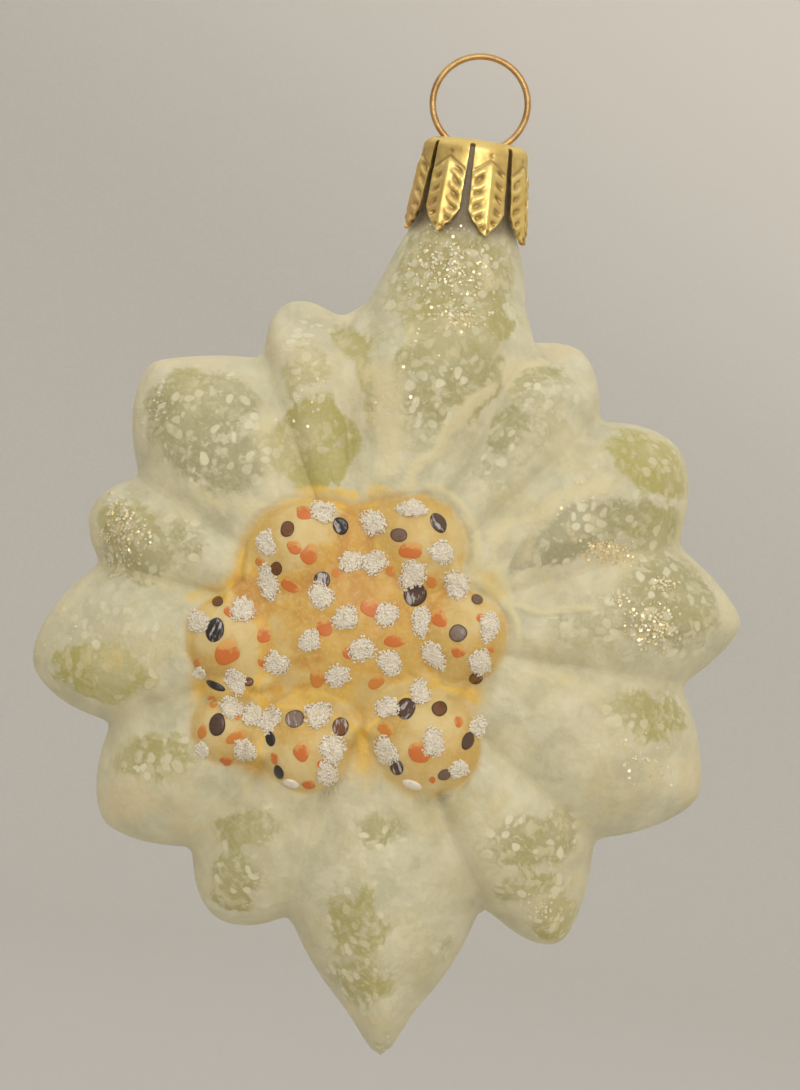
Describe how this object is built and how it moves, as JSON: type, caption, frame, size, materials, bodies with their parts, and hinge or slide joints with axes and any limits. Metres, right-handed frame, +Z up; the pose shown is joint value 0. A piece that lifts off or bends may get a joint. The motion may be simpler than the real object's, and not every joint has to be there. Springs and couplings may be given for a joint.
{
  "type": "edelweiss glass christmas ornament",
  "caption": "Mould-blown hollow glass tree ornament shaped as a flower with rounded petals round a cluster of beads, with a stamped crown cap and a sprung wire ring to hang it by.",
  "frame": {"origin": "highest point of the inside of the hanger ring, where a hook bears", "axes": "+Z up along the neck, -Y out of the face of the flower, +X to the right seen from the front"},
  "size_m": [0.0696, 0.0245, 0.1006],
  "materials": {
    "lacquered_glass": "matt frosted lacquer in cream and pale green, speckled white, yellow and gold in the middle, with fine glitter",
    "cap_metal": "gold-coloured stamped sheet, satin",
    "wire_metal": "copper-gold drawn wire, bright",
    "snow_grit": "matt white glass grit glued on in crumbs",
    "enamel_dots": "glossy raised enamel dots in brown, black, slate and orange"
  },
  "bodies": {
    "root": {"glass_flower": "lacquered_glass", "crown_cap": "cap_metal", "wire_hanger": "wire_metal"}
  },
  "joints": []
}
